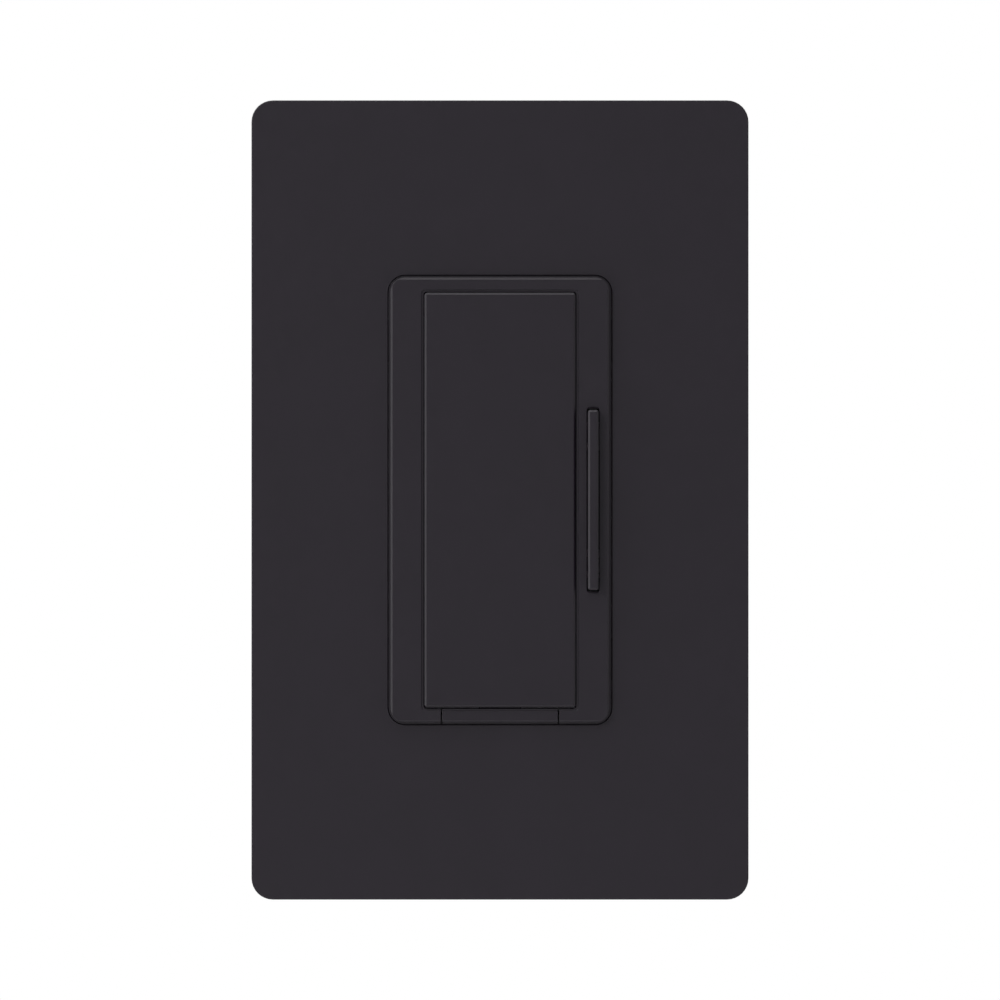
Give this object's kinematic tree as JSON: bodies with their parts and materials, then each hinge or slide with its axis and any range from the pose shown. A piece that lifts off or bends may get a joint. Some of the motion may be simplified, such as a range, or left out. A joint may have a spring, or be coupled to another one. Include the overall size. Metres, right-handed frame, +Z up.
{
  "type": "wall light dimmer",
  "caption": "Wall light control with a large tap paddle, a slim dimming rocker at its side, a pull-out service tab below and a plain clip-on cover plate over a metal yoke and back housing.",
  "frame": {"origin": "midway between the two wall box screw holes, on the rear face of the yoke, which lies on the wall's surface", "axes": "+Z up along the cover plate's height, +Y into the wall along the box screws, -Y out into the room, +X to the right as seen from the room"},
  "size_m": [0.074, 0.0386, 0.119],
  "materials": {
    "trim_plastic": "satin moulded, very dark plum grey",
    "black_plastic": "fine moulded texture, black",
    "housing_plastic": "spark-eroded texture, black",
    "yoke_metal": "stamped and brushed",
    "steel": "zinc plated",
    "dark_steel": "dark painted screw heads",
    "brass": "bright",
    "brass_screw": "bright, for the line wire",
    "black_screw": "blackened steel, for the load wire",
    "blue_screw": "blue lacquered steel, for the traveller wire",
    "green_screw": "green lacquered steel, for the ground wire",
    "bronze": "phosphor bronze",
    "silver_contact": "silver contact face",
    "spring_steel": "drawn wire",
    "copper_wire": "enamelled copper",
    "solder": "bright solder",
    "circuit_board": "glass-epoxy laminate under solder mask",
    "insulator": "electrical fish paper",
    "chip_epoxy": "moulded epoxy",
    "ceramic_part": "fired ceramic, tinned ends",
    "ferrite": "powdered iron, coated",
    "film_case": "dipped epoxy case",
    "sleeve_navy": "shrunk vinyl sleeve",
    "disc_blue": "dipped epoxy",
    "white_plastic": "moulded epoxy, off-white",
    "resistor_body": "lacquered ceramic",
    "thermal_silicone": "silicone sheet"
  },
  "bodies": {
    "device": {"adapter_plate": "black_plastic", "adapter_screws": "dark_steel", "bezel": "trim_plastic", "paddle_springs": "spring_steel", "control_board": "circuit_board", "insulator_sheet": "insulator", "controller_chip": "chip_epoxy", "chip_legs": "steel", "chip_components": "ceramic_part", "switch_bases": "chip_epoxy", "switch_covers": "steel", "tap_dome": "brass", "raise_dome": "brass", "lower_dome": "brass", "yoke": "yoke_metal", "ground_screw": "green_screw", "board_pins": "brass", "pin_carrier": "black_plastic", "power_board": "circuit_board", "triac_body": "chip_epoxy", "triac_metal": "steel", "thermal_pad": "thermal_silicone", "triac_screw": "steel", "choke_core": "ferrite", "choke_winding": "copper_wire", "film_capacitor": "film_case", "electrolytic_capacitor": "sleeve_navy", "varistor": "disc_blue", "optocoupler": "white_plastic", "power_resistor": "resistor_body", "component_leads": "steel", "solder_joints": "solder", "contact_posts": "bronze", "fixed_contacts": "silver_contact", "back_housing": "housing_plastic", "housing_screws": "steel", "terminal_plates": "brass", "wire_clamps": "steel", "line_screw": "brass_screw", "load_screw": "black_screw", "traveller_screw": "blue_screw"},
    "cover": {"cover_plate": "trim_plastic"},
    "paddle": {"tap_paddle": "trim_plastic"},
    "tap_button": {"tap_plunger": "black_plastic"},
    "rocker": {"dimming_rocker": "trim_plastic"},
    "raise_button": {"raise_plunger": "black_plastic"},
    "lower_button": {"lower_plunger": "black_plastic"},
    "pull_tab": {"service_tab": "trim_plastic", "contact_bridge": "bronze", "moving_contacts": "silver_contact"}
  },
  "joints": [
    {"name": "cover_snap_off", "type": "slide", "parent": "device", "child": "cover", "axis": [0, -1, 0], "range_m": [0, 0.02]},
    {"name": "paddle_press", "type": "hinge", "parent": "device", "child": "paddle", "pos_m": [0, -0.0045, 0.028], "axis": [1, 0, 0], "range_deg": [0, 1], "stiffness_Nm_per_rad": 3, "springref_deg": -0.46, "deforming": ["paddle_springs"]},
    {"name": "tap_click", "type": "slide", "parent": "device", "child": "tap_button", "axis": [0, 1, 0], "range_m": [0, 0.00055], "deforming": ["tap_dome"]},
    {"name": "rocker_tilt", "type": "hinge", "parent": "device", "child": "rocker", "pos_m": [0.01385, -0.0054, 0], "axis": [1, 0, 0], "range_deg": [-2, 2], "stiffness_Nm_per_rad": 0.5},
    {"name": "lower_click", "type": "slide", "parent": "device", "child": "lower_button", "axis": [0, 1, 0], "range_m": [-0.00035, 0.00035], "deforming": ["lower_dome"]},
    {"name": "raise_click", "type": "slide", "parent": "device", "child": "raise_button", "axis": [0, 1, 0], "range_m": [-0.00035, 0.00035], "deforming": ["raise_dome"]},
    {"name": "service_tab_pull", "type": "slide", "parent": "device", "child": "pull_tab", "axis": [0, -1, 0], "range_m": [0, 0.003]}
  ],
  "couplings": [
    {"joint": "tap_click", "follows": "paddle_press", "m_per_rad": 0.029},
    {"joint": "lower_click", "follows": "rocker_tilt", "m_per_rad": 0.0095},
    {"joint": "raise_click", "follows": "rocker_tilt", "m_per_rad": -0.0095}
  ]
}
